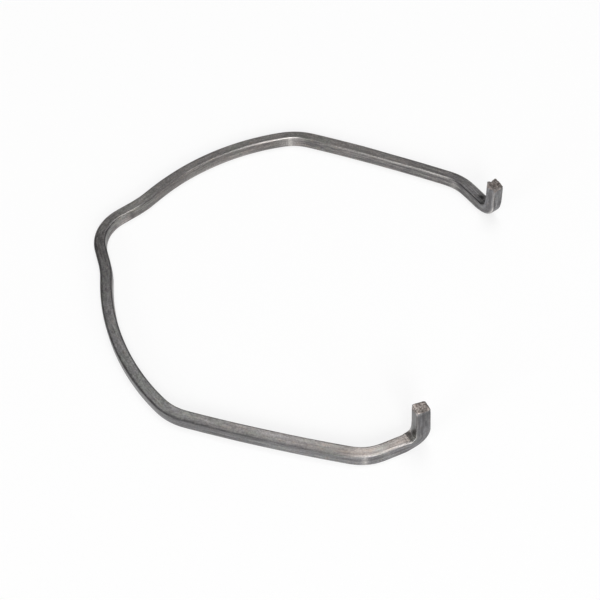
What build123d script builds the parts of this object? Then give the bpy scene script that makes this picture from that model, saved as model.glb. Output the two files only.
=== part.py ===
from build123d import *
from math import radians
import os

# Turbo hose clip: one length of square spring wire, bent into an open ring.
# Millimetres and degrees. The ring lies flat on Z = 0, with its nose towards -X
# and its open mouth towards +X. Both ends of the wire stand up at the mouth.
# The origin is the middle of the clip's footprint, on the face that it rests on.
# Radii and lengths are those of the wire's centreline.

# Spring wire
WIRE_WIDTH = 2.45  # across the ring, from its inner face to its outer face
WIRE_HEIGHT = 2.65  # along the hose's axis
WIRE_EDGE_RADIUS = 0.3

# Nose: the outward bulge halfway along the wire, by which the clip is lifted
NOSE_RADIUS = 8.25
NOSE_TURN = 35.5  # of each half of the nose
NOSE_FLANK = 3.6
FOOT_RADIUS = 20.0  # where the nose runs out into the ring's back
FOOT_TURN = 13.0

# Each half of the ring
BACK_RADIUS = 48.0
BACK_TURN = 39.5
CORNER_RADIUS = 11.0
CORNER_TURN = 29.0
ARM_LENGTH = 32.3
ARM_TURN = 5.0  # the arm's slight bow

# Legs: each arm bends inwards to a short leg at the mouth
LEG_BEND_RADIUS = 9.5
LEFT_LEG_TURN = 30.0
RIGHT_LEG_TURN = 36.0
LEG_LENGTH = 4.6

# Tips: the wire's ends, bent up to a little past square
TIP_BEND_RADIUS = 3.1
TIP_TURN = 92.5
LEFT_TIP_LENGTH = 5.4
RIGHT_TIP_LENGTH = 7.6
CUT_SLOPE = 4.0  # of each sheared end
CUT_CHAMFER = 0.25

LEFT = 1
RIGHT = -1


class HalfClip:
    """Half of the clip's wire, laid down from the middle of the nose to its end.

    end is the plane across the wire where it has got to. Its Z runs along the
    wire, its X to the wire's left, and its Y to the wire's upper face.
    """

    def __init__(self, side):
        self.side = side
        self.end = Plane((0, 0, 0), x_dir=(-side, 0, 0), z_dir=(0, side, 0))
        self.pieces = []

    def section(self):
        """The wire's cross-section at its end."""
        return self.end * RectangleRounded(WIRE_WIDTH, WIRE_HEIGHT, WIRE_EDGE_RADIUS)

    def run(self, length):
        """A straight run."""
        self.pieces.append(extrude(self.section(), length))
        self.end = self.end.offset(length)

    def bend(self, radius, turn, towards):
        """A bend about a centre that lies in the direction towards."""
        spoke = towards * radius
        centre = self.end.origin + spoke
        axis = Axis(centre, self.end.z_dir.cross(towards))
        self.pieces.append(revolve(self.section(), axis, turn))
        self.end = Plane(
            centre - spoke.rotate(axis, turn),
            x_dir=self.end.x_dir.rotate(axis, turn),
            z_dir=self.end.z_dir.rotate(axis, turn),
        )

    def bend_in(self, radius, turn):
        self.bend(radius, turn, self.end.x_dir * -self.side)

    def bend_out(self, radius, turn):
        self.bend(radius, turn, self.end.x_dir * self.side)

    def bend_up(self, radius, turn):
        self.bend(radius, turn, self.end.y_dir)

    def sheared_end(self, length):
        """The last straight run, cut off on a slope, with a chamfer round the cut."""
        across = Axis(self.end.origin, self.end.x_dir)
        cut = Plane(
            self.end.offset(length).origin,
            x_dir=self.end.x_dir,
            z_dir=self.end.z_dir.rotate(across, CUT_SLOPE),
        )
        spare = WIRE_HEIGHT  # more than the slope takes off
        tip = split(extrude(self.section(), length + spare), cut, Keep.BOTTOM)
        cut_face = tip.faces().sort_by(Axis(cut.origin, cut.z_dir))[-1]
        self.pieces.append(chamfer(cut_face.edges(), CUT_CHAMFER))


def half_clip(side, leg_turn, tip_length):
    """The pieces of one half, from the middle of the nose to the sheared end."""
    half = HalfClip(side)
    half.bend_in(NOSE_RADIUS, NOSE_TURN)
    half.run(NOSE_FLANK)
    half.bend_out(FOOT_RADIUS, FOOT_TURN)
    half.bend_in(BACK_RADIUS, BACK_TURN)
    half.bend_in(CORNER_RADIUS, CORNER_TURN)
    half.bend_in(ARM_LENGTH / radians(ARM_TURN), ARM_TURN)
    half.bend_in(LEG_BEND_RADIUS, leg_turn)
    half.run(LEG_LENGTH)
    half.bend_up(TIP_BEND_RADIUS, TIP_TURN)
    half.sheared_end(tip_length)
    return half.pieces


def wire_clip():
    """The whole clip as one solid, standing on Z = 0 about the middle of its footprint."""
    left = half_clip(LEFT, LEFT_LEG_TURN, LEFT_TIP_LENGTH)
    right = half_clip(RIGHT, RIGHT_LEG_TURN, RIGHT_TIP_LENGTH)
    clip = Part() + left + right
    box = clip.bounding_box()
    return Pos(-box.center().X, -box.center().Y, -box.min.Z) * clip


os.makedirs("parts", exist_ok=True)
export_step(wire_clip(), "parts/wire_clip.step")
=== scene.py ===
import math

import bpy
import numpy as np
from bpy.props import FloatProperty, FloatVectorProperty, PointerProperty
from mathutils import Matrix, Vector, noise


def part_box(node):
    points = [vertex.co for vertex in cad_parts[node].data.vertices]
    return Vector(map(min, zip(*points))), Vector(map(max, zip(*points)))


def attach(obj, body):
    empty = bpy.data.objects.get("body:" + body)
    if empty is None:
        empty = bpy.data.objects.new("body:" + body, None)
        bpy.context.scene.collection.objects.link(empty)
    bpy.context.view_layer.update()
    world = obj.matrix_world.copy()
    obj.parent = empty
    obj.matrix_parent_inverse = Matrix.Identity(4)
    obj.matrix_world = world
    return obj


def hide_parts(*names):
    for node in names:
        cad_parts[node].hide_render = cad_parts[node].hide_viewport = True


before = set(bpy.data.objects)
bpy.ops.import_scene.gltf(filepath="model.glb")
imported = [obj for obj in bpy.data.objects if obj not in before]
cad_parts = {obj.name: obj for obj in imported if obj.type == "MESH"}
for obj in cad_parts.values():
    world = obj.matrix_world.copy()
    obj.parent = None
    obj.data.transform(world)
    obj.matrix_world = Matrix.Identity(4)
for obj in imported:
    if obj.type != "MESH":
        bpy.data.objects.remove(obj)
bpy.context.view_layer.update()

bl_info = {
    "name": "Turbo Hose Clip",
    "version": (1, 0, 0),
    "blender": (4, 5, 0),
    "location": "View3D > Sidebar > Hose Clip",
    "description": "Builds a spring wire clip for a turbo hose, and a small studio to look at it in",
    "category": "Add Mesh",
}

NODE = "wire_clip"
LEFT = 1
RIGHT = -1

# The wire's faces, each by its way out across and up the wire's section.
FACES = {"inner": (-1.0, 0.0), "outer": (1.0, 0.0), "top": (0.0, 1.0), "under": (0.0, -1.0)}

# The tables are in metres. A place is a distance along the wire from the middle of its length,
# positive towards the left end. Across is towards the ring's outer side, and up is towards the upper
# face, which is the inner face of the tips.

# Where the bending pins pressed and burnished the steel: place, half length, face, strength.
PIN_MARKS = (
    (0.0066, 0.0013, "inner", 0.15),
    (0.0493, 0.0007, "inner", 1.00),
    (0.0493, 0.0024, "inner", 0.45),
    (0.0876, 0.0010, "inner", 0.35),
    (-0.0066, 0.0013, "inner", 0.42),
    (-0.0493, 0.0007, "inner", 1.00),
    (-0.0493, 0.0024, "inner", 0.45),
    (-0.0876, 0.0010, "inner", 0.35),
    (0.0851, 0.0005, "outer", 0.60),
    (-0.0851, 0.0005, "outer", 0.60),
)

# Dark stains, and painted shade beside the pin mark on the nose's left flank and in the crease of the
# left tip's bend: place, half length, face, strength.
STAINS_AND_SHADE = (
    # Painted shadow beside the pin mark.
    (0.0091, 0.0005, "inner", 0.60),
    (-0.0048, 0.0022, "top", 0.35),
    (-0.0105, 0.0020, "top", 0.25),
    # Painted shade in the crease of the left tip's bend.
    (0.0952, 0.0010, "top", 0.50),
    (0.0545, 0.0020, "inner", 0.30),
    (0.0190, 0.0035, "inner", 0.20),
)

# How bright the steel is, as a multiple of its plain colour, painted light and shade included: place,
# upper and under face, inner face, outer face. The rows were set to match a real clip's look under this
# studio's lamps, so they hold painted light and shade besides its finish: those inside the right tip's
# bend are high as painted light, because little light reaches it.
TONE_AND_PAINTED_LIGHT = (
    (-0.1060, 1.25, 1.25, 1.25),
    (-0.1055, 1.00, 1.00, 1.00),
    (-0.1050, 0.78, 1.00, 0.73),
    (-0.1025, 0.75, 1.00, 0.77),
    (-0.0985, 0.85, 1.00, 0.83),
    (-0.0972, 1.60, 1.00, 0.91),
    (-0.0960, 2.00, 1.00, 0.96),
    (-0.0949, 1.90, 1.00, 1.07),
    (-0.0940, 1.30, 1.00, 1.07),
    (-0.0930, 1.10, 1.00, 1.22),
    (-0.0900, 0.98, 1.00, 1.28),
    (-0.0860, 0.83, 1.00, 1.31),
    (-0.0740, 0.98, 1.00, 1.28),
    (-0.0620, 1.04, 1.00, 1.05),
    (-0.0480, 1.14, 1.00, 0.94),
    (-0.0300, 1.12, 1.00, 1.00),
    (-0.0200, 1.26, 1.00, 1.00),
    (-0.0140, 1.04, 1.00, 1.00),
    (-0.0050, 0.98, 0.95, 1.00),
    (-0.0015, 1.03, 0.90, 1.00),
    (0.0030, 1.34, 1.07, 1.00),
    (0.0080, 1.34, 0.98, 1.00),
    (0.0140, 1.00, 1.02, 1.00),
    (0.0190, 1.10, 0.95, 1.00),
    (0.0280, 1.02, 0.98, 1.00),
    (0.0460, 1.06, 1.00, 1.00),
    (0.0560, 0.94, 1.11, 1.00),
    (0.0700, 0.88, 1.18, 1.00),
    (0.0850, 0.90, 1.15, 1.00),
    (0.0890, 1.25, 1.09, 1.00),
    (0.0925, 1.20, 1.04, 1.00),
    (0.0950, 0.95, 1.00, 1.00),
    (0.0970, 1.00, 1.17, 1.00),
    (0.0990, 0.90, 1.11, 1.00),
    (0.1010, 0.82, 1.11, 1.00),
    (0.1030, 1.00, 1.06, 1.00),
    (0.1050, 0.95, 1.06, 0.90),
    (0.1060, 0.78, 0.78, 0.78),
)

# How the long edges are worn, with painted light on them: the bright lines are rubbed steel and painted
# highlights, the dark lines and bands drawing scale and painted shade. Rows are place, then a line and a
# band for the upper inner, the upper outer and the lower inner edge.
EDGE_WEAR_AND_PAINTED_LIGHT = (
    (-0.1060, 0.1, 0.0, 0.45, 0.0, 0.0, 0.0),
    (-0.0970, 0.1, 0.0, 0.30, 0.0, 0.0, 0.0),
    (-0.0955, 0.1, 0.0, 0.0, 0.0, 0.0, 0.0),
    (-0.0940, 0.1, 0.0, 0.3, 0.0, 0.0, 0.0),
    (-0.0925, 0.1, 0.1, 0.65, 0.0, 0.0, 0.0),
    (-0.0850, 0.1, 0.1, 0.45, 0.0, 0.0, 0.0),
    (-0.0825, 0.1, 0.1, 0.2, -0.1, 0.0, 0.0),
    (-0.0790, 0.1, 0.1, -0.4, -0.10, 0.0, 0.0),
    (-0.0700, 0.1, 0.1, -0.45, -0.28, 0.0, 0.0),
    (-0.0600, 0.1, 0.1, -0.55, -0.50, 0.0, 0.0),
    (-0.0520, 0.1, 0.0, -0.7, -0.60, 0.0, 0.0),
    (-0.0440, 0.0, 0.0, -0.9, -0.30, 0.0, 0.0),
    (-0.0400, -0.2, 0.0, -0.9, -0.10, 0.0, 0.0),
    (-0.0300, -0.5, 0.0, -0.7, 0.0, 0.0, 0.0),
    (-0.0250, -0.9, -0.15, -0.5, 0.0, 0.0, 0.0),
    (-0.0120, -0.9, -0.15, -0.3, 0.0, 0.0, 0.0),
    (-0.0070, -0.9, -0.10, -0.8, -0.2, 0.0, 0.0),
    (-0.0040, -0.9, -0.10, -0.7, -0.1, 0.0, 0.0),
    (0.0000, -0.7, 0.0, 0.1, 0.2, 0.0, 0.0),
    (0.0030, -0.3, 0.0, 0.1, 0.25, 0.0, 0.0),
    (0.0060, 0.0, 0.0, 0.1, 0.3, 0.0, 0.0),
    (0.0090, 0.1, 0.0, 0.1, 0.25, 0.0, 0.0),
    (0.0110, -0.1, 0.0, 0.1, 0.25, 0.0, 0.0),
    (0.0120, -1.0, 0.0, 0.1, 0.2, 0.0, 0.0),
    (0.0220, -1.0, 0.0, 0.1, 0.2, 0.0, 0.3),
    (0.0250, -0.1, 0.0, 0.1, 0.2, 0.0, 0.5),
    (0.0340, 0.0, 0.0, 0.1, 0.2, 0.0, 0.55),
    (0.0400, 0.25, 0.0, 0.1, 0.2, 0.0, 0.5),
    (0.0450, 0.5, 0.0, 0.1, 0.2, 0.0, 0.0),
    (0.0510, 0.9, 0.1, 0.1, 0.2, 0.0, 0.0),
    (0.0530, -0.2, 0.0, 0.1, 0.15, 0.0, 0.0),
    (0.0570, -0.1, 0.0, 0.1, 0.1, 0.0, 0.0),
    (0.0600, 0.1, 0.0, 0.1, 0.1, 0.0, 0.0),
    (0.0720, 0.6, 0.0, 0.1, 0.2, 0.0, 0.0),
    (0.0860, 1.0, 0.0, 0.1, 0.2, 0.0, 0.0),
    (0.0880, 0.0, 0.0, 0.1, 0.15, 0.0, 0.0),
    (0.0970, 0.0, 0.0, 0.1, 0.1, 0.0, 0.0),
    (0.0990, 0.1, 0.0, 0.0, 0.0, 0.8, 0.0),
    (0.1060, 0.1, 0.0, 0.0, 0.0, 0.4, 0.0),
)

# How wide a line and a band are, and how far the lines lie from the corner, over the upper face.
LINE_HALF_WIDTH = 0.00024
BAND_HALF_WIDTH = 0.00090
LINE_INSET = 0.00012

# The long edges' radii: place, upper outer, upper inner, lower inner, lower outer.
EDGE_RADII = (
    (-0.1060, 0.0003, 0.0003, 0.0003, 0.0003),
    (-0.0460, 0.0003, 0.0003, 0.0003, 0.0003),
    (-0.0380, 0.00045, 0.0004, 0.0003, 0.0003),
    (0.0000, 0.0005, 0.0004, 0.0003, 0.0003),
    (0.0110, 0.0005, 0.0003, 0.0003, 0.0003),
    (0.0230, 0.0005, 0.0003, 0.0005, 0.0003),
    (0.0500, 0.0005, 0.0003, 0.0005, 0.0003),
    (0.0540, 0.0003, 0.0003, 0.0005, 0.0003),
    (0.0660, 0.0003, 0.0003, 0.0005, 0.0003),
    (0.0720, 0.0005, 0.0003, 0.0005, 0.0003),
    (0.0850, 0.0005, 0.0003, 0.0005, 0.0003),
    (0.0900, 0.0003, 0.0003, 0.0003, 0.0003),
    (0.1060, 0.0003, 0.0003, 0.0003, 0.0003),
)

# How far bending has drawn the upper edges in, over the faces below them, and has swollen the upper
# face: place, outer edge, inner edge, upper face.
DRAWN_EDGES = (
    (-0.1060, 0.00018, 0.0, 0.0),
    (-0.1040, 0.00019, 0.0, 0.00006),
    (-0.1005, 0.00022, 0.0, 0.00012),
    (-0.0985, 0.00024, 0.0, 0.00022),
    (-0.0970, 0.00025, 0.0, 0.00022),
    (-0.0955, 0.00026, 0.0, 0.00006),
    (-0.0940, 0.00027, 0.0, -0.00005),
    (-0.0925, 0.00028, 0.0, 0.0),
    (-0.0880, 0.00042, 0.0, 0.0),
    (-0.0840, 0.00030, 0.0, 0.0),
    (-0.0790, 0.0, 0.0, 0.0),
    (0.0240, 0.0, 0.0, 0.0),
    (0.0320, 0.0, 0.00010, 0.0),
    (0.0500, 0.0, 0.00014, 0.0),
    (0.0620, 0.0, 0.00006, 0.0),
    (0.0700, 0.0, 0.0, 0.0),
    (0.0850, 0.0, 0.00008, 0.0),
    (0.0900, 0.0, 0.0, 0.0),
)

# How far the draw lines and the mottles stand out: place, draw lines, mottles.
MARKINGS = (
    (-0.1060, 0.9, 0.4),
    (-0.0930, 0.7, 0.2),
    (-0.0850, 0.55, 0.3),
    (-0.0450, 0.6, 0.4),
    (-0.0260, 0.6, 0.7),
    (-0.0180, 0.8, 1.0),
    (0.0000, 0.8, 1.0),
    (0.0050, 0.6, 0.5),
    (0.0700, 0.6, 0.4),
    (0.0790, 0.9, 0.4),
    (0.0900, 1.0, 0.6),
    (0.1060, 1.0, 0.6),
)
SIDE_MARKINGS = 0.6  # how much stronger both are on the side faces

# The faces' tints, from -1 for a cool grey to 1 for straw: place, upper and under face, inner face,
# outer face.
TINTS = (
    (-0.1060, -0.4, 0.0, -0.5),
    (-0.0970, -0.2, 0.3, -0.5),
    (-0.0950, 0.7, 0.3, -0.4),
    (-0.0820, 0.7, 0.3, -0.2),
    (-0.0700, 0.2, 0.3, -0.3),
    (-0.0600, 0.3, 0.3, -0.3),
    (-0.0450, 0.0, 0.3, -0.3),
    (-0.0200, 0.1, 0.3, -0.3),
    (0.0000, 0.3, 0.4, 0.0),
    (0.0100, 0.3, 0.5, 0.0),
    (0.0450, 0.4, 0.6, 0.0),
    (0.0600, 0.4, 0.4, 0.0),
    (0.0850, 0.3, 0.3, 0.0),
    (0.0950, 0.0, 0.0, 0.0),
    (0.0990, -0.5, -0.8, 0.0),
    (0.1060, -0.5, -0.9, 0.0),
)

# How far the torn steel of a cut runs down the faces below it: end, face, the depth at the face's
# inner or upper side, and at its other side.
TORN_RUNS = (
    (RIGHT, "top", 0.0015, 0.0001),
    (LEFT, "inner", 0.0013, 0.0003),
    (LEFT, "under", 0.0009, 0.0001),
)

# How ragged the torn steel's lower border is, as a share of its depth, how long its rags are, and
# how softly it ends.
TORN_RAGGEDNESS = 0.25
TORN_RAG = 0.0005
TORN_FADE = 0.00025

# The torn grain of the two cuts is cut from different places in one solid noise.
LEFT_GRAIN_PLACE = 0.0021
RIGHT_GRAIN_PLACE = 0.0043

# The notch in the left cut, in shares of the wire's width and height: its half width, and the height
# above the wire's middle at which it starts and over which it deepens.
NOTCH_HALF_WIDTH = 0.14
NOTCH_START = 0.20
NOTCH_RISE = 0.25

# How far in from a cut's rim each ring of its mesh lies, how far in its torn steel starts, and over
# what distance that comes in.
CUT_INSETS = (
    0.00003, 0.00008, 0.00015, 0.00023, 0.00032, 0.00042, 0.00052,
    0.00062, 0.00072, 0.00082, 0.00092, 0.00102, 0.00112, 0.00119,
)
TORN_INSET = 0.00002
TORN_INSET_FADE = 0.00012

# The waves in the drawn faces: their size across the wire, and how much longer they are along it.
WAVE_SIZE = 0.0015
WAVE_STRETCH = 5

# Over how much wire a bend's swelling fades in and out.
SWELLING_REACH = 0.0009

# How much of the pinch below a tip reaches the middle of the wire's upper face, and how much more of it
# its outer edge takes than its inner edge.
PINCH_SHARE = 0.8
PINCH_SLOPE = 0.8

# Light and dark marks of the shear, with painted highlights and painted shade on its rims and corners:
# end, place across and up the section, place down the wire from its end, radius, and strength from -1
# for dark to 1 for bright.
CUT_MARKS_AND_PAINTED_LIGHT = (
    (RIGHT, 0.00095, 0.00105, 0.0, 0.00030, 1.00),
    (RIGHT, 0.00100, 0.00132, 0.00040, 0.00030, 0.60),
    (RIGHT, -0.00057, 0.00132, 0.0, 0.00040, 0.55),
    (RIGHT, -0.00105, 0.00114, 0.0, 0.00030, 0.20),
    (RIGHT, 0.00055, 0.00110, 0.0, 0.00025, 0.25),
    (RIGHT, 0.00064, -0.00104, 0.0, 0.00030, 0.30),
    (RIGHT, -0.00070, -0.00070, 0.0, 0.00040, 0.15),
    (RIGHT, -0.00115, 0.00045, 0.0, 0.00022, -0.35),
    (RIGHT, -0.00115, 0.00005, 0.0, 0.00022, -0.35),
    (RIGHT, -0.00115, -0.00035, 0.0, 0.00022, -0.30),
    (RIGHT, -0.00046, -0.00125, 0.0, 0.00025, -0.30),
    (RIGHT, 0.00005, -0.00122, 0.0, 0.00025, -0.40),
    (RIGHT, 0.00024, -0.00080, 0.0, 0.00025, -0.30),
    (RIGHT, 0.00068, 0.00017, 0.0, 0.00033, -0.40),
    (RIGHT, 0.00095, 0.00030, 0.0, 0.00033, -0.30),
    (RIGHT, 0.00085, -0.00039, 0.0, 0.00033, -0.40),
    (RIGHT, -0.00070, 0.00132, 0.00160, 0.00050, -0.30),
    (LEFT, 0.0, 0.00095, 0.0, 0.00025, 0.50),
    (LEFT, 0.00054, -0.00048, 0.0, 0.00040, -0.35),
    (LEFT, -0.00083, -0.00056, 0.0, 0.00050, -0.25),
    (LEFT, 0.00023, -0.00133, 0.00030, 0.00030, 0.40),
)

# Long streaks and spots on the faces, and painted shade in the crease of the left tip's bend: where they
# start and end along the wire, the face, their place and half width across or up it, and their strength,
# from -1 for dark to 1 for bright.
STREAKS_AND_SHADE = (
    (-0.1047, -0.0995, "top", 0.00020, 0.00050, -0.30),
    (-0.1000, -0.0975, "top", 0.00030, 0.00030, -0.15),
    (-0.0985, -0.0967, "top", 0.00090, 0.00060, 0.20),
    (-0.0974, -0.0960, "top", -0.00010, 0.00080, -0.25),
    (-0.0965, -0.0949, "top", 0.00075, 0.00050, 0.30),
    (-0.0062, -0.0030, "top", 0.00020, 0.00040, -0.20),
    (0.0054, 0.0082, "inner", -0.00040, 0.00060, 0.30),
    # Painted shade: a near-black spot in the crease of the left tip's bend.
    (0.0947, 0.0951, "top", 0.00010, 0.00055, -1.00),
    (0.0975, 0.1035, "inner", 0.00050, 0.00028, -0.25),
    (0.0985, 0.1045, "inner", -0.00050, 0.00035, 0.15),
    (0.0980, 0.1000, "inner", -0.00115, 0.00020, 0.30),
    (0.0985, 0.1040, "under", -0.00095, 0.00013, -0.30),
    (0.1003, 0.1035, "under", -0.00028, 0.00022, 0.25),
    (0.0980, 0.1000, "under", 0.00040, 0.00022, 0.20),
)

# How much of the steel's colour is left in the darkest mark, and how many times brighter the brightest is.
DARKEST_MARK = 0.12
BRIGHTEST_MARK = 2.4

# The studio's soft lamps: name, bearing and height in degrees, side, share of the floor's light.
SOFTBOXES = (
    ("overhead, behind", 90.0, 75.0, 1.00, 0.29),
    ("overhead, in front", 290.0, 70.0, 1.00, 0.20),
    ("key", 302.0, 34.0, 1.00, 0.20),
    ("side fill, right", 330.0, 20.0, 1.00, 0.05),
    ("side fill, left", 245.0, 20.0, 1.00, 0.06),
    ("back fill", 106.0, 45.0, 1.00, 0.018),
    ("mouth fill", 355.0, 28.0, 1.00, 0.015),
)
LAMP_DISTANCE = 2.6

# The surround's level overhead and at the horizon, and the sines of the heights that it fades between.
SURROUND = 0.17
HORIZON = 1.0
HORIZON_FADE = (0.03, 0.16)


def length(name, default, description):
    """A length in metres, shown in scene units."""
    return FloatProperty(
        name=name, description=description, default=default,
        min=0.0, precision=5, subtype="DISTANCE", unit="LENGTH",
    )


def angle(name, degrees, description):
    """An angle, given in degrees and kept in radians."""
    return FloatProperty(
        name=name, description=description, default=math.radians(degrees),
        subtype="ANGLE", unit="ROTATION",
    )


def share(name, default, description):
    """A number from 0 to 1."""
    return FloatProperty(
        name=name, description=description, default=default,
        min=0.0, max=1.0, subtype="FACTOR",
    )


def colour(name, default, description):
    """A linear colour."""
    return FloatVectorProperty(
        name=name, description=description, default=default,
        size=3, min=0.0, max=1.0, subtype="COLOR",
    )


def corners(name, default, end):
    """How far the corners of one end's cut stand above it."""
    order = "outer upper, outer lower, inner lower and inner upper"
    return FloatVectorProperty(
        name=name, description=f"Rise of the {end} cut at its {order} corner",
        default=default, size=4, precision=5, subtype="NONE", unit="LENGTH",
    )


class ClipWireSettings(bpy.types.PropertyGroup):
    """The wire's own section, and how finely its mesh follows it."""

    width: length("Width", 0.00245, "Across the ring, from its inner face to its outer face")
    height: length("Height", 0.00265, "Along the hose's axis")
    edge_radius: length("Edge radius", 0.0003, "Radius of the four long edges at the wire's ends")
    taper: share("Taper", 0.045, "How much thicker the wire is at its right end than at its left end")
    step: length("Mesh step", 0.00035, "Distance between two rings of the mesh along the wire")
    tip_step: length("Tip mesh step", 0.00015, "The same along the tips, next to the cuts")
    waviness: length("Waviness", 0.000014, "How far the drawn wire's faces wander from a true flat")
    swelling: share("Swelling", 0.35, "How much a bend swells the wire on its inside and thins it outside")
    pinch: length("Pinch", 0.00018, "How far the tight bend below each tip pinches the wire's inner side")


class ClipBendSettings(bpy.types.PropertyGroup):
    """The bends and runs of the wire's centreline, from the middle of the nose to its ends."""

    nose_radius: length("Nose radius", 0.00825, "Bend of the nose that lifts the clip")
    nose_turn: angle("Nose turn", 35.5, "Turn of each half of the nose")
    nose_flank: length("Nose flank", 0.0036, "Straight run from the nose to its foot")
    foot_radius: length("Foot radius", 0.020, "Bend by which the nose runs out into the back")
    foot_turn: angle("Foot turn", 13.0, "Turn of each foot of the nose")
    back_radius: length("Back radius", 0.048, "Bend of each half of the back")
    back_turn: angle("Back turn", 39.5, "Turn of each half of the back")
    corner_radius: length("Corner radius", 0.011, "Bend between back and arm")
    corner_turn: angle("Corner turn", 29.0, "Turn between back and arm")
    arm_length: length("Arm length", 0.0323, "Length of each arm")
    arm_turn: angle("Arm turn", 5.0, "Slight bow of each arm")
    leg_bend_radius: length("Leg bend radius", 0.0095, "Bend between arm and leg")
    left_leg_turn: angle("Left leg turn", 30.0, "Inward turn of the left leg")
    right_leg_turn: angle("Right leg turn", 36.0, "Inward turn of the right leg")
    leg_length: length("Leg length", 0.0046, "Straight run of each leg")
    tip_bend_radius: length("Tip bend radius", 0.0031, "Bend between leg and tip")
    tip_turn: angle("Tip turn", 92.5, "Upward turn of each tip")
    left_tip_length: length("Left tip length", 0.0054, "Straight run of the left tip, to its cut")
    right_tip_length: length("Right tip length", 0.0076, "Straight run of the right tip, to its cut")
    left_lean: angle("Left lean", 1.0, "How far the left tip leans outwards")


class ClipCutSettings(bpy.types.PropertyGroup):
    """The sheared ends of the wire."""

    rim: length("Rim", 0.00016, "How far the rim of a cut is rounded over")
    drawn_in: length("Drawn in", 0.0013, "Length of wire that the shear has dragged out of shape")
    necking: share("Necking", 0.025, "How much narrower the wire is at a cut")
    grain_size: length("Grain size", 0.00042, "Size of the torn grain on a cut")
    left_grain: length("Left grain", 0.00020, "Depth of the torn grain on the left end")
    right_grain: length("Right grain", 0.00008, "Depth of the torn grain on the right end")
    left_corners: corners("Left corners", (-0.00015, -0.00060, -0.00010, 0.00035), "left")
    right_corners: corners("Right corners", (0.00030, 0.00015, -0.00040, 0.00020), "right")
    left_notch: length("Left notch", 0.0005, "Depth of the notch in the left cut's upper side")


class ClipFinishSettings(bpy.types.PropertyGroup):
    """The drawn steel's finish."""

    steel: colour("Steel", (0.262, 0.257, 0.259), "Drawn steel")
    dull_steel: colour("Dull steel", (0.165, 0.160, 0.164), "The darker grains of the drawn steel")
    green_steel: colour("Green steel", (0.248, 0.256, 0.238), "Steel with a faint green tint")
    cool_steel: colour("Cool steel", (0.250, 0.248, 0.266), "Steel with a faint violet tint")
    straw: colour("Straw", (0.296, 0.256, 0.226), "Steel with a straw tint")
    stain_and_shade: colour("Stained steel", (0.100, 0.096, 0.099), "Steel under a dark stain or drawing scale")
    # Also the colour of painted highlights along the edges.
    rubbed_and_highlight: colour("Rubbed steel", (0.560, 0.535, 0.515), "Bare steel of rubbed edges and of pin marks")
    # Also the colour of painted shade along the edges and in a tip's crease.
    torn: colour("Torn steel", (0.400, 0.365, 0.342), "Torn steel of the sheared ends")
    torn_dark: colour("Dark torn steel", (0.215, 0.180, 0.165), "Hollows and rust specks of the ends")
    roughness: share("Roughness", 0.37, "Roughness of the drawn faces")
    stained_roughness: share("Stained roughness", 0.60, "Roughness of stains and of drawing scale")
    rubbed_roughness: share("Rubbed roughness", 0.28, "Roughness of rubbed edges and pin marks")
    torn_roughness: share("Torn roughness", 0.60, "Roughness of the sheared ends")
    line_relief: length("Draw line relief", 0.00005, "Depth of the draw lines")
    grain_relief: length("Grain relief", 0.000014, "Depth of the drawn faces' fine grain")
    torn_relief: length("Torn relief", 0.00006, "Depth of the finest grit on the sheared ends")


class ClipStudioSettings(bpy.types.PropertyGroup):
    """The camera, the light and the floor."""

    azimuth: angle("Azimuth", 21.865, "Camera's bearing, from looking along +Y")
    elevation: angle("Elevation", 54.226, "Camera's height above the horizon")
    roll: angle("Roll", -3.931, "Camera's roll about its own line of sight")
    distance: length("Distance", 0.25594, "From the camera to the point that it looks at")
    aim: FloatVectorProperty(
        name="Aim", description="Where the camera's line of sight meets the wire's middle plane",
        default=(0.006569, -0.004494, 0.00135), size=3, precision=5, subtype="XYZ", unit="LENGTH",
    )
    lens: FloatProperty(
        name="Lens", description="The camera's focal length in millimetres", default=76.8,
        min=1.0, subtype="DISTANCE_CAMERA", unit="CAMERA",
    )
    light: FloatProperty(
        name="Light", description="Level of all the lamps together: at 1 a white floor is just white",
        default=1.02, min=0.0,
    )
    floor: colour("Floor", (1.0, 1.0, 1.0), "The floor as the camera and the steel's reflections see it")
    floor_shine: share("Floor shine", 0.72, "Share of the seen floor's white that shadows don't reach")
    floor_bounce: share("Floor bounce", 0.8, "Share of the lamps' light that the floor throws back up")
    floor_size: length("Floor size", 6.0, "Side of the square floor")


# The wire's path


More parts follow.
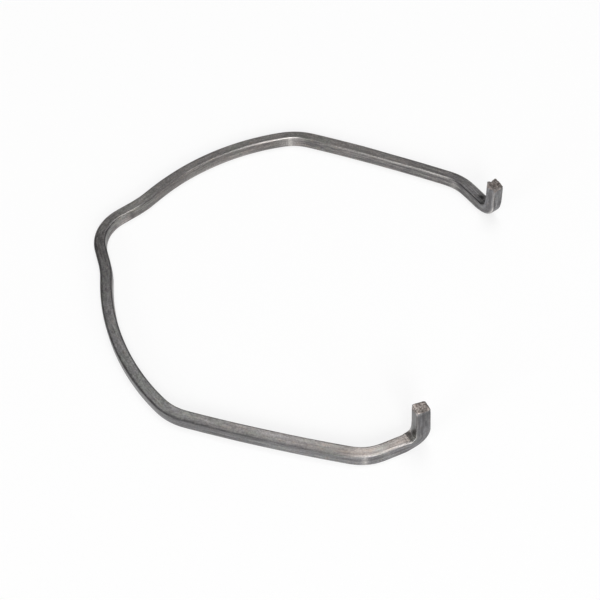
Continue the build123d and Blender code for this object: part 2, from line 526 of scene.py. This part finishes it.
class WirePath:
    """Half of the wire's centreline as rows of stations, laid down one run or bend at a time.

    A station holds its place, the wire's direction, its left and its upper side,
    its curvature as a vector towards the bend's centre, and how much the wire is pinched.
    """

    def __init__(self, start, side, step):
        self.side = side
        self.step = step
        self.place = np.array(start, float)
        self.ahead = np.array((0.0, side, 0.0))
        self.left = np.array((-side, 0.0, 0.0))
        self.stations = []
        self.add_station()

    def add_station(self, curvature=(0.0, 0.0, 0.0), pinch=0.0):
        above = np.cross(self.ahead, self.left)
        station = (self.place, self.ahead, self.left, above, curvature, (pinch,))
        self.stations.append(np.concatenate(station))

    def run(self, distance, step=None, lean=0.0):
        """A straight run, twisted so that the wire's upper face leans outwards."""
        steps = max(2, round(distance / (step or self.step)))
        twist = np.array(Matrix.Rotation(-self.side * lean / steps, 3, Vector(self.ahead)))
        for _ in range(steps):
            self.place = self.place + self.ahead * (distance / steps)
            self.left = twist @ self.left
            self.add_station()

    def bend(self, radius, turn, towards, pinch=0.0):
        """A bend about a centre that lies in the direction towards."""
        steps = max(3, round(radius * turn / self.step))
        centre = self.place + towards * radius
        axis = Vector(np.cross(self.ahead, towards))
        part_turn = np.array(Matrix.Rotation(turn / steps, 3, axis))
        for k in range(1, steps + 1):
            self.place = centre + part_turn @ (self.place - centre)
            self.ahead = part_turn @ self.ahead
            self.left = part_turn @ self.left
            self.add_station((centre - self.place) / radius**2, pinch * math.sin(math.pi * k / steps) ** 2)

    def bend_in(self, radius, turn):
        """A bend towards the ring's inner side."""
        self.bend(radius, turn, self.left * -self.side)

    def bend_out(self, radius, turn):
        """A bend towards the ring's outer side."""
        self.bend(radius, turn, self.left * self.side)

    def bend_up(self, radius, turn, pinch):
        """A bend away from the floor, which pinches the wire."""
        self.bend(radius, turn, np.cross(self.ahead, self.left), pinch)


def half_path(start, side, bends, wire):
    """The stations of one half of the wire, from the middle of the nose to its cut end."""
    leg_turn = bends.left_leg_turn if side == LEFT else bends.right_leg_turn
    tip_length = bends.left_tip_length if side == LEFT else bends.right_tip_length
    path = WirePath(start, side, wire.step)
    path.bend_in(bends.nose_radius, bends.nose_turn)
    path.run(bends.nose_flank)
    path.bend_out(bends.foot_radius, bends.foot_turn)
    path.bend_in(bends.back_radius, bends.back_turn)
    path.bend_in(bends.corner_radius, bends.corner_turn)
    path.bend_in(bends.arm_length / bends.arm_turn, bends.arm_turn)
    path.bend_in(bends.leg_bend_radius, leg_turn)
    path.run(bends.leg_length, lean=bends.left_lean if side == LEFT else 0.0)
    path.bend_up(bends.tip_bend_radius, bends.tip_turn, wire.pinch)
    path.run(tip_length, wire.tip_step)
    return np.array(path.stations)


def whole_path(start, bends, wire):
    """The stations of the whole wire, from the right end round the nose to the left end.

    All along it, the wire's left is the ring's outer side.
    """
    left = half_path(start, LEFT, bends, wire)
    right = half_path(start, RIGHT, bends, wire)[::-1].copy()
    right[:, 3:9] *= -1.0  # walked the other way, ahead and left turn round
    return np.concatenate((right, left[1:]))


def distances_along(places):
    """Each station's distance along the wire from the middle of its length, negative on the right."""
    along = np.concatenate(([0.0], np.cumsum(np.linalg.norm(np.diff(places, axis=0), axis=1))))
    return along - along[-1] / 2


def eased(values, along, reach):
    """Rows of values averaged over a short reach of wire, so that a bend's swelling fades in and out."""
    result = np.empty_like(values)
    for i, distance in enumerate(along):
        near = np.abs(along - distance) < reach
        weights = 1 - np.abs(along[near] - distance) / reach
        result[i] = weights @ values[near] / weights.sum()
    return result


# The wire's mesh


def wire_section(wire, radii):
    """Points round the wire's rounded square section as (across, up), and the way out at each.

    radii are those of its upper outer, upper inner, lower inner and lower outer edges.
    """
    corner_steps = 6
    flat_steps = 10
    corners = np.array(((1, 1), (-1, 1), (-1, -1), (1, -1))) * (wire.width / 2, wire.height / 2)
    centres = corners - np.sign(corners) * np.array(radii)[:, None]
    points, outward = [], []
    for quarter in range(4):
        for k in range(corner_steps + 1):
            turn = math.radians(90 * (quarter + k / corner_steps))
            direction = np.array((math.cos(turn), math.sin(turn)))
            points.append(centres[quarter] + radii[quarter] * direction)
            outward.append(direction)
        start = points[-1]
        following = (quarter + 1) % 4
        finish = centres[following] + radii[following] * direction
        for k in range(1, flat_steps):
            points.append(start + (finish - start) * k / flat_steps)
            outward.append(direction)
    return np.array(points), np.array(outward)


def row_at(table, place):
    """A table's columns at a place along the wire, without the place itself."""
    places, *columns = np.array(table).T
    return np.array([np.interp(place, places, column) for column in columns])


def grain(places, size):
    """Smooth noise from -1 to 1 with features of about the given size, at each place."""
    return np.array([noise.noise(Vector(place) / size) for place in places])


def fade(values):
    """A smooth step from 0 to 1."""
    values = np.clip(values, 0.0, 1.0)
    return values * values * (3 - 2 * values)


def torn_grain(section, depth, size):
    """The torn grain of a cut, from about -1 to 1, coarse with finer grain on it."""
    coarse = grain(np.column_stack((section, np.full(len(section), depth))), size)
    fine = grain(np.column_stack((section, np.full(len(section), depth / 3))), size / 2.4)
    return coarse + 0.5 * fine


def corner_rise(section, wire, rises):
    """How far a cut stands up because of its corners.

    rises are those of its outer upper, outer lower, inner lower and inner upper corner.
    """
    outer, upper = section[:, 0] / wire.width + 0.5, section[:, 1] / wire.height + 0.5
    shares = (outer * upper, outer * (1 - upper), (1 - outer) * (1 - upper), (1 - outer) * upper)
    return sum(rise * corner_share ** 2 for rise, corner_share in zip(rises, shares))


def left_cut(section, wire, cuts):
    """How far the left end, coarsely torn and notched on its upper side, stands above its nominal cut."""
    across, up = section[:, 0] / wire.width, section[:, 1] / wire.height
    notch = np.exp(-(across / NOTCH_HALF_WIDTH) ** 2) * fade((up - NOTCH_START) / NOTCH_RISE)
    torn = cuts.left_grain * torn_grain(section, LEFT_GRAIN_PLACE, cuts.grain_size)
    return torn + corner_rise(section, wire, cuts.left_corners) - cuts.left_notch * notch


def right_cut(section, wire, cuts):
    """How far the right end stands above its nominal cut."""
    torn = cuts.right_grain * torn_grain(section, RIGHT_GRAIN_PLACE, cuts.grain_size)
    return torn + corner_rise(section, wire, cuts.right_corners)


def marks_and_painted_light(along, section, outward):
    """The shear's marks and the faces' streaks at each point, painted highlights and painted shade among
    them, from -1 for dark to 1 for bright.
    """
    marked = np.zeros(len(along))
    from_end = along.max() - np.abs(along)
    for end, across, up, down, radius, strength in CUT_MARKS_AND_PAINTED_LIGHT:
        offsets = np.column_stack((section, from_end)) - (across, up, down)
        mark = strength * np.exp(-(np.linalg.norm(offsets, axis=1) / radius) ** 2)
        marked += np.where(along * end > 0, mark, 0.0)
    for first, last, face, offset, half_width, strength in STREAKS_AND_SHADE:
        facing = np.clip(outward @ np.array(FACES[face]), 0.0, 1.0) ** 2
        beside = section[:, 0 if face in ("top", "under") else 1] - offset
        past = np.maximum(np.maximum(first - along, along - last), 0.0)
        marked += strength * facing * np.exp(-(beside ** 2 + past ** 2) / half_width ** 2)
    return np.clip(marked, -1.0, 1.0)


def torn_share(section, outward, wire, side, from_end):
    """How much the torn steel of a cut covers each point of the wire's sides, a distance from the end."""
    torn = np.zeros(len(section))
    for end, face, depth, other_depth in TORN_RUNS:
        if end != side:
            continue
        facing = np.clip(outward @ np.array(FACES[face]), 0.0, 1.0)
        if face == "inner":
            nearer = 0.5 + section[:, 1] / wire.height
        else:
            nearer = 0.5 - section[:, 0] / wire.width
        rag_place = np.full(len(section), from_end / 3)
        rags = 1 + TORN_RAGGEDNESS * grain(np.column_stack((section, rag_place)), TORN_RAG)
        reach = (other_depth + (depth - other_depth) * nearer) * rags
        torn = np.maximum(torn, facing * fade((reach - from_end) / TORN_FADE + 0.5))
    return torn


class WireMesh:
    """The wire's mesh as rings of points, each with its own coordinates along and across the wire.

    Besides its place, a point keeps its distance along the wire, its place in the section,
    the way out there, and whether it lies on torn steel.
    """

    def __init__(self):
        self.rings = []

    def add_ring(self, places, along, section, outward, torn):
        torn = np.broadcast_to(torn, len(places))
        along = np.full(len(places), along)
        self.rings.append(np.column_stack((places, along, section, outward, torn)))

    def faces(self, count):
        """Quads between the rings, and a fan of triangles on each end."""
        last = (len(self.rings) - 1) * count
        middle = len(self.rings) * count
        faces = []
        for first in range(0, last, count):
            for k in range(count):
                after = (k + 1) % count
                faces.append((first + k, first + after, first + count + after, first + count + k))
        for k in range(count):
            after = (k + 1) % count
            faces.append((after, k, middle))
            faces.append((last + k, last + after, middle + 1))
        return faces

    def build(self, name, wire):
        """The finished mesh object, with its attributes."""
        count = len(self.rings[0])
        middles = [self.rings[0].mean(axis=0), self.rings[-1].mean(axis=0)]
        points = np.vstack((*self.rings, middles))
        mesh = bpy.data.meshes.new(name)
        mesh.from_pydata(points[:, 0:3].tolist(), [], self.faces(count))
        mesh.shade_smooth()
        along, section, outward, torn = points[:, 3], points[:, 4:6], points[:, 6:8], points[:, 8]
        # Edge wear with painted highlights and painted shade along the long edges.
        wear_and_painted_light = edge_wear_and_painted_light(along, section, wire)
        tint = on_faces(TINTS, along, outward)
        draw_lines, mottles = row_at(MARKINGS, along) * (1.0 + SIDE_MARKINGS * outward[:, 0] ** 2)
        add_attribute(mesh, "wire_place", np.column_stack((along, section)))
        add_attribute(mesh, "torn", torn)
        # The steel's own tone with painted light and shade, face by face.
        add_attribute(mesh, "tone_and_painted_light", on_faces(TONE_AND_PAINTED_LIGHT, along, outward))
        # Rubbed steel of pin marks and edges, with painted highlights along the edges.
        add_attribute(mesh, "rubbed_and_highlight", np.maximum(marks(PIN_MARKS, along, outward), wear_and_painted_light) * (1 - torn))
        # Stains and drawing scale, with painted shade along the edges, beside a pin mark and in a tip's
        # crease.
        add_attribute(mesh, "stain_and_shade", np.maximum(marks(STAINS_AND_SHADE, along, outward), -wear_and_painted_light) * (1 - torn))
        add_attribute(mesh, "straw", np.maximum(tint, 0.0))
        add_attribute(mesh, "cool", np.maximum(-tint, 0.0))
        add_attribute(mesh, "draw_lines", draw_lines)
        add_attribute(mesh, "mottled", mottles)
        add_attribute(mesh, "marks_and_painted_light", marks_and_painted_light(along, section, outward))
        mesh.update()
        piece = bpy.data.objects.new(name, mesh)
        bpy.context.scene.collection.objects.link(piece)
        return piece


def add_attribute(mesh, name, values):
    """A vector or a number kept on each point of the mesh, for its material."""
    kind, field = ("FLOAT_VECTOR", "vector") if values.ndim == 2 else ("FLOAT", "value")
    mesh.attributes.new(name, kind, "POINT").data.foreach_set(field, values.astype(np.float32).ravel())


def marks(rows, along, outward):
    """How strongly each point is marked by rows of place, half length, face and strength."""
    strongest = np.zeros(len(along))
    for place, half_length, face, strength in rows:
        facing = np.clip(outward @ np.array(FACES[face]), 0.0, 1.0) ** 3
        nearness = np.exp(-(((along - place) / half_length) ** 2))
        strongest = np.maximum(strongest, strength * facing * nearness)
    return strongest


def on_faces(table, along, outward):
    """A table's value on each point: its columns are for the flat faces, the inner and the outer face."""
    flat, inner, outer = row_at(table, along)
    sideways = np.where(outward[:, 0] < 0, inner, outer)
    return sideways * outward[:, 0] ** 2 + flat * outward[:, 1] ** 2


def past_edge(section, wire, side, level):
    """How far round the section each point lies past one long edge, positive down its side face.

    side is 1 for the outer edges and -1 for the inner ones, and level is 1 for the upper edges and -1
    for the lower ones.
    """
    across, up = section[:, 0] * side, section[:, 1] * level
    distance = (across - wire.width / 2) - (up - wire.height / 2)
    nearer = across / wire.width + up / wire.height > 0
    return np.where(nearer, distance, np.inf)


def edge_line_and_band(past, line, band):
    """Wear and painted light along an edge: a line on it, and a wider band that fades out over the face
    beside it.
    """
    past = past + LINE_INSET
    width = np.where(past < 0, BAND_HALF_WIDTH, LINE_HALF_WIDTH)
    return line * np.exp(-((past / LINE_HALF_WIDTH) ** 2)) + band * np.exp(-((past / width) ** 2))


def edge_wear_and_painted_light(along, section, wire):
    """The long edges' wear and painted light, from -1 for dark scale and painted shade to 1 for rubbed
    steel and painted highlight.
    """
    inner_line, inner_band, outer_line, outer_band, lower_line, lower_band = row_at(EDGE_WEAR_AND_PAINTED_LIGHT, along)
    wear_and_painted_light = edge_line_and_band(past_edge(section, wire, -1, 1), inner_line, inner_band)
    wear_and_painted_light += edge_line_and_band(past_edge(section, wire, 1, 1), outer_line, outer_band)
    wear_and_painted_light += edge_line_and_band(-past_edge(section, wire, -1, -1), lower_line, lower_band)
    return np.clip(wear_and_painted_light, -1.0, 1.0)


def lay_sides(wire_mesh, path, along, wire, cuts):
    """The wire's long sides, ring by ring from the right end to the left."""
    curvature = eased(path[:, 12:15], along, SWELLING_REACH)
    plain, _ = wire_section(wire, (wire.edge_radius,) * 4)
    cut_heights = {LEFT: left_cut(plain, wire, cuts), RIGHT: right_cut(plain, wire, cuts)}
    for station, distance, bending in zip(path, along, curvature):
        place, ahead, left, above = station[0:12].reshape(4, 3)
        pinch = station[15]
        side = LEFT if distance > 0 else RIGHT
        section, outward = wire_section(wire, row_at(EDGE_RADII, distance))
        drawn_outer, drawn_inner, swollen = row_at(DRAWN_EDGES, distance)
        dragged = fade(1 - (along[-1] - abs(distance)) / cuts.drawn_in)
        thickness = (1 - cuts.necking * dragged) * (1 - wire.taper * distance / (along[-1] - along[0]))
        across, up = (section * thickness).T
        wave_place = np.full(len(section), distance / WAVE_STRETCH)
        wander = wire.waviness * grain(np.column_stack((wave_place, section)), WAVE_SIZE)
        wide = across * (1 + wire.swelling * up * (bending @ above)) + outward[:, 0] * wander
        high = up * (1 + wire.swelling * across * (bending @ left)) + outward[:, 1] * wander
        high -= pinch * (0.5 + up / wire.height) * (PINCH_SHARE + PINCH_SLOPE * across / wire.width)
        high += swollen * (0.5 + up / wire.height)
        wide -= drawn_outer * (0.5 + up / wire.height) * (0.5 + across / wire.width)
        wide += drawn_inner * (0.5 + up / wire.height) * (0.5 - across / wire.width)
        places = place + np.outer(wide, left) + np.outer(high, above)
        places += np.outer(dragged * (cut_heights[side] - cuts.rim), ahead * side)
        places[:, 2] = np.maximum(places[:, 2], 0.0)
        torn = torn_share(section, outward, wire, side, along[-1] - abs(distance))
        wire_mesh.add_ring(places, distance, section, outward, torn)


def sheared_end(station, side, along, wire, cuts):
    """The rings of a cut end, from its rim to its middle."""
    section, outward = wire_section(wire, (wire.edge_radius,) * 4)
    cut_height = left_cut if side == LEFT else right_cut
    place, ahead, left, above = station[0:12].reshape(4, 3)
    half_width = wire.width / 2
    thickness = (1 - cuts.necking) * (1 - wire.taper * side / 2)
    rings = []
    for inset in CUT_INSETS:
        inset_section = section * (1 - inset / half_width)
        rim = cuts.rim * (1 - min(1.0, inset / cuts.rim)) ** 2
        across, up = (inset_section * thickness).T
        places = place + np.outer(across, left) + np.outer(up, above)
        places += np.outer(cut_height(inset_section, wire, cuts) - rim, ahead * side)
        torn = float(fade((inset - TORN_INSET) / TORN_INSET_FADE))
        rings.append((places, along, inset_section, outward, torn))
    return rings


def build_wire(wire, bends, cuts):
    """The whole wire as one closed mesh."""
    low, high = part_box(NODE)
    start = (low.x + wire.width / 2, (low.y + high.y) / 2, low.z + wire.height / 2)
    path = whole_path(start, bends, wire)
    along = distances_along(path[:, 0:3])
    wire_mesh = WireMesh()
    for ring in reversed(sheared_end(path[0], RIGHT, along[0], wire, cuts)):
        wire_mesh.add_ring(*ring)
    lay_sides(wire_mesh, path, along, wire, cuts)
    for ring in sheared_end(path[-1], LEFT, along[-1], wire, cuts):
        wire_mesh.add_ring(*ring)
    return wire_mesh.build("wire", wire)


# The wire's finish


class Nodes:
    """Short calls that add and join a material's nodes."""

    def __init__(self, tree):
        self.tree = tree
        self.tree.nodes.clear()

    def add(self, kind, **settings):
        """A new node of a kind, with its own settings."""
        node = self.tree.nodes.new("ShaderNode" + kind)
        for name, value in settings.items():
            setattr(node, name, value)
        return node

    def join(self, source, target):
        self.tree.links.new(source, target)

    def attribute(self, name, output="Fac"):
        """A value that the mesh keeps on each of its points."""
        return self.add("Attribute", attribute_name=name).outputs[output]

    def stretched(self, source, scale):
        """The source's coordinates, scaled on each axis."""
        mapping = self.add("Mapping")
        mapping.inputs["Scale"].default_value = scale
        self.join(source, mapping.inputs["Vector"])
        return mapping.outputs["Vector"]

    def noise(self, vector, scale=1.0, detail=3.0, roughness=0.55):
        """Smooth noise at the coordinates, from 0 to 1 and mostly near the middle."""
        node = self.add("TexNoise")
        node.inputs["Scale"].default_value = scale
        node.inputs["Detail"].default_value = detail
        node.inputs["Roughness"].default_value = roughness
        self.join(vector, node.inputs["Vector"])
        return node.outputs["Fac"]

    def spread(self, source, low, high, to_low=0.0, to_high=1.0):
        """The source's range from low to high, spread from to_low to to_high."""
        node = self.add("MapRange")
        ends = {"From Min": low, "From Max": high, "To Min": to_low, "To Max": to_high}
        for name, value in ends.items():
            node.inputs[name].default_value = value
        self.join(source, node.inputs["Value"])
        return node.outputs["Result"]

    def math(self, operation, *values):
        """Arithmetic on other nodes' outputs and plain numbers."""
        node = self.add("Math", operation=operation)
        for socket, value in zip(node.inputs, values):
            if isinstance(value, float):
                socket.default_value = value
            else:
                self.join(value, socket)
        return node.outputs["Value"]

    def mix(self, amount, first, second):
        """A colour between first and second, which are colours or other nodes' outputs."""
        node = self.add("Mix", data_type="RGBA")
        self.join(amount, node.inputs["Factor"])
        for socket, value in ((node.inputs[6], first), (node.inputs[7], second)):
            if isinstance(value, bpy.types.NodeSocket):
                self.join(value, socket)
            else:
                socket.default_value = (*value, 1.0)
        return node.outputs[2]

    def dimmed(self, shade, amount):
        """A colour times a number, both other nodes' outputs."""
        node = self.add("VectorMath", operation="SCALE")
        self.join(shade, node.inputs["Vector"])
        self.join(amount, node.inputs["Scale"])
        return node.outputs["Vector"]

    def mix_number(self, amount, first, second):
        """A number between first, another node's output, and second, a plain number."""
        node = self.add("Mix", data_type="FLOAT")
        self.join(amount, node.inputs["Factor"])
        self.join(first, node.inputs[2])
        node.inputs[3].default_value = second
        return node.outputs[0]

    def raised(self, height, distance, normal=None):
        """The surface's normal, over relief of the height's pattern and the distance's depth."""
        node = self.add("Bump")
        node.inputs["Distance"].default_value = distance
        self.join(height, node.inputs["Height"])
        if normal is not None:
            self.join(normal, node.inputs["Normal"])
        return node.outputs["Normal"]

    def finish(self, shader, output="OutputMaterial"):
        """Joins the shader to the material's or the world's output."""
        self.join(shader, self.add(output).inputs["Surface"])


def new_material(name):
    """An empty material and the calls that fill it."""
    material = bpy.data.materials.new(name)
    material.use_nodes = True
    return material, Nodes(material.node_tree)


def drawn_steel(finish):
    """Dull drawn steel: draw lines, fine grain, tints, stains, rubbed edges, pin marks and torn ends, with
    painted highlights and painted shade.
    """
    material, nodes = new_material("drawn_steel")
    place = nodes.attribute("wire_place", "Vector")
    torn = nodes.attribute("torn")
    rubbed_and_highlight = nodes.attribute("rubbed_and_highlight")

    # Each pattern's scales are in features a metre: along, across and up the wire.
    speckle = nodes.noise(place, 3400.0, detail=2.0, roughness=0.6)
    short_lines = nodes.noise(nodes.stretched(place, (330, 3400, 3400)), detail=2.0)
    long_lines = nodes.noise(nodes.stretched(place, (60, 1900, 1900)), detail=3.0)
    mottles = nodes.noise(nodes.stretched(place, (850, 2500, 2500)), detail=2.0)
    blotches = nodes.noise(nodes.stretched(place, (420, 800, 800)), detail=4.0, roughness=0.6)
    tints = nodes.noise(nodes.stretched(place, (230, 500, 500)), detail=2.0)
    flecks = nodes.noise(nodes.stretched(place, (900, 1500, 1500)), detail=2.0)
    half_short, half_long = (nodes.math("MULTIPLY", each, 0.5) for each in (short_lines, long_lines))
    lines = nodes.math("ADD", half_short, half_long)

    base = nodes.mix(nodes.spread(tints, 0.45, 0.62), finish.steel, finish.green_steel)
    base = nodes.mix(nodes.spread(flecks, 0.52, 0.75, 0.0, 0.8), base, finish.cool_steel)
    base = nodes.mix(nodes.attribute("cool"), base, finish.cool_steel)
    straw = nodes.math("MULTIPLY", nodes.attribute("straw"), nodes.spread(tints, 0.62, 0.42, 0.4, 1.0))
    straw = nodes.math("ADD", straw, nodes.spread(flecks, 0.46, 0.25, 0.0, 0.7))
    base = nodes.mix(straw, base, finish.straw)
    line_depth = nodes.math("MULTIPLY", nodes.attribute("draw_lines"), nodes.spread(lines, 0.62, 0.36))
    base = nodes.mix(line_depth, base, finish.stain_and_shade)
    mottles = nodes.spread(mottles, 0.52, 0.70, 0.0, 0.9)
    mottle_depth = nodes.math("MULTIPLY", nodes.attribute("mottled"), mottles)
    base = nodes.mix(mottle_depth, base, finish.stain_and_shade)
    base = nodes.mix(nodes.spread(blotches, 0.54, 0.80, 0.0, 0.8), base, finish.dull_steel)
    # Stains and drawing scale, with painted shade.
    blotched = nodes.spread(blotches, 0.30, 0.60, 0.7, 1.0)
    stain_and_shade = nodes.math("MULTIPLY", nodes.attribute("stain_and_shade"), blotched)
    base = nodes.mix(stain_and_shade, base, finish.stain_and_shade)
    # Rubbed steel, with painted highlights along the edges.
    rubbed_and_highlight = nodes.math("MULTIPLY", rubbed_and_highlight, nodes.spread(lines, 0.35, 0.62, 0.55, 1.0))
    base = nodes.mix(rubbed_and_highlight, base, finish.rubbed_and_highlight)
    base = nodes.dimmed(base, nodes.spread(speckle, 0.70, 0.30, 0.72, 1.26))

    grit = nodes.noise(place, 2300.0, detail=4.0, roughness=0.65)
    torn_colour = nodes.mix(nodes.spread(grit, 0.60, 0.40), finish.torn, finish.torn_dark)
    base = nodes.mix(torn, base, torn_colour)
    # Painted highlights and painted shade of the shear's marks and of the streaks and spots.
    marked = nodes.attribute("marks_and_painted_light")
    base = nodes.dimmed(base, nodes.spread(marked, 0.0, -1.0, 1.0, DARKEST_MARK))
    base = nodes.dimmed(base, nodes.spread(marked, 0.0, 1.0, 1.0, BRIGHTEST_MARK))
    # Painted light and shade from the tone table, on top of the steel's own tone.
    base = nodes.dimmed(base, nodes.attribute("tone_and_painted_light"))

    shader = nodes.add("BsdfPrincipled")
    shader.inputs["Metallic"].default_value = 1.0
    nodes.join(base, shader.inputs["Base Color"])
    roughness = nodes.spread(speckle, 0.30, 0.70, finish.roughness + 0.06, finish.roughness - 0.05)
    roughness = nodes.mix_number(stain_and_shade, roughness, finish.stained_roughness)
    roughness = nodes.mix_number(rubbed_and_highlight, roughness, finish.rubbed_roughness)
    roughness = nodes.mix_number(torn, roughness, finish.torn_roughness)
    nodes.join(roughness, shader.inputs["Roughness"])
    relief = nodes.math("MULTIPLY", lines, nodes.attribute("draw_lines"))
    normal = nodes.raised(relief, finish.line_relief)
    normal = nodes.raised(speckle, finish.grain_relief, normal)
    normal = nodes.raised(nodes.math("MULTIPLY", grit, torn), finish.torn_relief, normal)
    nodes.join(normal, shader.inputs["Normal"])
    nodes.finish(shader.outputs["BSDF"])
    return material


# The studio


def direction(bearing, height):
    """The direction at a bearing from +X and a height above the horizon."""
    return Vector((
        math.cos(bearing) * math.cos(height), math.sin(bearing) * math.cos(height), math.sin(height),
    ))


def view_axes(azimuth, elevation, roll):
    """The camera's right, up and backward directions."""
    back = direction(azimuth - math.pi / 2, elevation)
    right = Vector((math.cos(azimuth), math.sin(azimuth), 0.0))
    up = back.cross(right)
    return (
        right * math.cos(roll) + up * math.sin(roll),
        up * math.cos(roll) - right * math.sin(roll),
        back,
    )


def add_camera(studio):
    """The camera, looking at the aim from the studio's bearing and height."""
    right, up, back = view_axes(studio.azimuth, studio.elevation, studio.roll)
    camera = bpy.data.objects.new("camera", bpy.data.cameras.new("camera"))
    camera.data.lens = studio.lens
    camera.data.sensor_width = 36.0
    camera.data.clip_start = 0.01
    turn = Matrix((right, up, back)).transposed().to_4x4()
    camera.matrix_world = Matrix.Translation(Vector(studio.aim) + back * studio.distance) @ turn
    bpy.context.scene.collection.objects.link(camera)
    bpy.context.scene.camera = camera


def floor_paper(studio):
    """White paper: full white with a soft shadow where it is seen, and a little darker as a light."""
    material, nodes = new_material("floor_paper")
    path = nodes.add("LightPath")
    seen = nodes.math("MAXIMUM", path.outputs["Is Camera Ray"], path.outputs["Is Glossy Ray"])
    seen = nodes.math("MAXIMUM", seen, path.outputs["Is Transmission Ray"])
    paper = nodes.add("BsdfDiffuse")
    nodes.join(nodes.mix(seen, (studio.floor_bounce,) * 3, studio.floor), paper.inputs["Color"])
    shine = nodes.add("Emission")
    shine.inputs["Color"].default_value = (*studio.floor, 1.0)
    shine.inputs["Strength"].default_value = 1.0
    mixed = nodes.add("MixShader")
    nodes.join(nodes.math("MULTIPLY", seen, float(studio.floor_shine)), mixed.inputs["Fac"])
    nodes.join(paper.outputs["BSDF"], mixed.inputs[1])
    nodes.join(shine.outputs["Emission"], mixed.inputs[2])
    nodes.finish(mixed.outputs["Shader"])
    return material


def add_floor(studio):
    """The plain floor that the clip lies on."""
    half = studio.floor_size / 2
    mesh = bpy.data.meshes.new("floor")
    corner_points = [(-half, -half, 0), (half, -half, 0), (half, half, 0), (-half, half, 0)]
    mesh.from_pydata(corner_points, [], [(0, 1, 2, 3)])
    mesh.materials.append(floor_paper(studio))
    floor = bpy.data.objects.new("floor", mesh)
    bpy.context.scene.collection.objects.link(floor)


def add_softbox(name, azimuth, elevation, side, floor_share):
    """A square soft lamp that gives the floor its share of light."""
    height = math.radians(elevation)
    towards = direction(math.radians(azimuth), height)
    lamp = bpy.data.lights.new(name, "AREA")
    lamp.size = side
    lamp.energy = floor_share * (math.pi * LAMP_DISTANCE) ** 2 / math.sin(height)
    softbox = bpy.data.objects.new(name, lamp)
    softbox.location = towards * LAMP_DISTANCE
    softbox.rotation_euler = towards.to_track_quat("Z", "Y").to_euler()
    bpy.context.scene.collection.objects.link(softbox)


def add_surround(level):
    """A dim, even surround that brightens to white at the horizon, where it meets the floor."""
    world = bpy.data.worlds.new("surround")
    world.use_nodes = True
    nodes = Nodes(world.node_tree)
    parts = nodes.add("SeparateXYZ")
    nodes.join(nodes.add("TexCoord").outputs["Generated"], parts.inputs["Vector"])
    background = nodes.add("Background")
    strength = nodes.spread(parts.outputs["Z"], *HORIZON_FADE, HORIZON * level, SURROUND * level)
    nodes.join(strength, background.inputs["Strength"])
    nodes.finish(background.outputs["Background"], "OutputWorld")
    bpy.context.scene.world = world


class HOSECLIP_OT_wire(bpy.types.Operator):
    """Bend the clip's wire, shear its ends and give it its drawn steel finish"""

    bl_idname = "hose_clip.wire"
    bl_label = "Wire Clip"
    bl_options = {"REGISTER", "UNDO"}

    def execute(self, context):
        scene = context.scene
        piece = build_wire(scene.hose_clip_wire, scene.hose_clip_bends, scene.hose_clip_cuts)
        piece.data.materials.append(drawn_steel(scene.hose_clip_finish))
        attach(piece, "root")
        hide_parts(NODE)
        return {"FINISHED"}


class HOSECLIP_OT_studio(bpy.types.Operator):
    """Lay the floor and set the lamps and the camera"""

    bl_idname = "hose_clip.studio"
    bl_label = "Studio"
    bl_options = {"REGISTER", "UNDO"}

    def execute(self, context):
        studio = context.scene.hose_clip_studio
        add_floor(studio)
        add_camera(studio)
        add_surround(studio.light)
        for name, azimuth, elevation, side, floor_share in SOFTBOXES:
            add_softbox(name, azimuth, elevation, side, floor_share * studio.light)
        context.scene.view_settings.view_transform = "Standard"
        return {"FINISHED"}


SETTINGS = (
    ("hose_clip_wire", ClipWireSettings),
    ("hose_clip_bends", ClipBendSettings),
    ("hose_clip_cuts", ClipCutSettings),
    ("hose_clip_finish", ClipFinishSettings),
    ("hose_clip_studio", ClipStudioSettings),
)
OPERATORS = (HOSECLIP_OT_wire, HOSECLIP_OT_studio)


class HOSECLIP_PT_sidebar(bpy.types.Panel):
    """The clip's pieces and settings"""

    bl_label = "Hose Clip"
    bl_idname = "HOSECLIP_PT_sidebar"
    bl_space_type = "VIEW_3D"
    bl_region_type = "UI"
    bl_category = "Hose Clip"

    def draw(self, context):
        for operator in OPERATORS:
            self.layout.operator(operator.bl_idname)
        for name, group in SETTINGS:
            box = self.layout.box()
            for setting in group.__annotations__:
                box.prop(getattr(context.scene, name), setting)


def register():
    for name, group in SETTINGS:
        bpy.utils.register_class(group)
        setattr(bpy.types.Scene, name, PointerProperty(type=group))
    for cls in (*OPERATORS, HOSECLIP_PT_sidebar):
        bpy.utils.register_class(cls)


def unregister():
    for cls in (HOSECLIP_PT_sidebar, *reversed(OPERATORS)):
        bpy.utils.unregister_class(cls)
    for name, group in reversed(SETTINGS):
        delattr(bpy.types.Scene, name)
        bpy.utils.unregister_class(group)


def main():
    register()
    bpy.ops.hose_clip.wire()
    bpy.ops.hose_clip.studio()


if __name__ == "__main__":
    main()
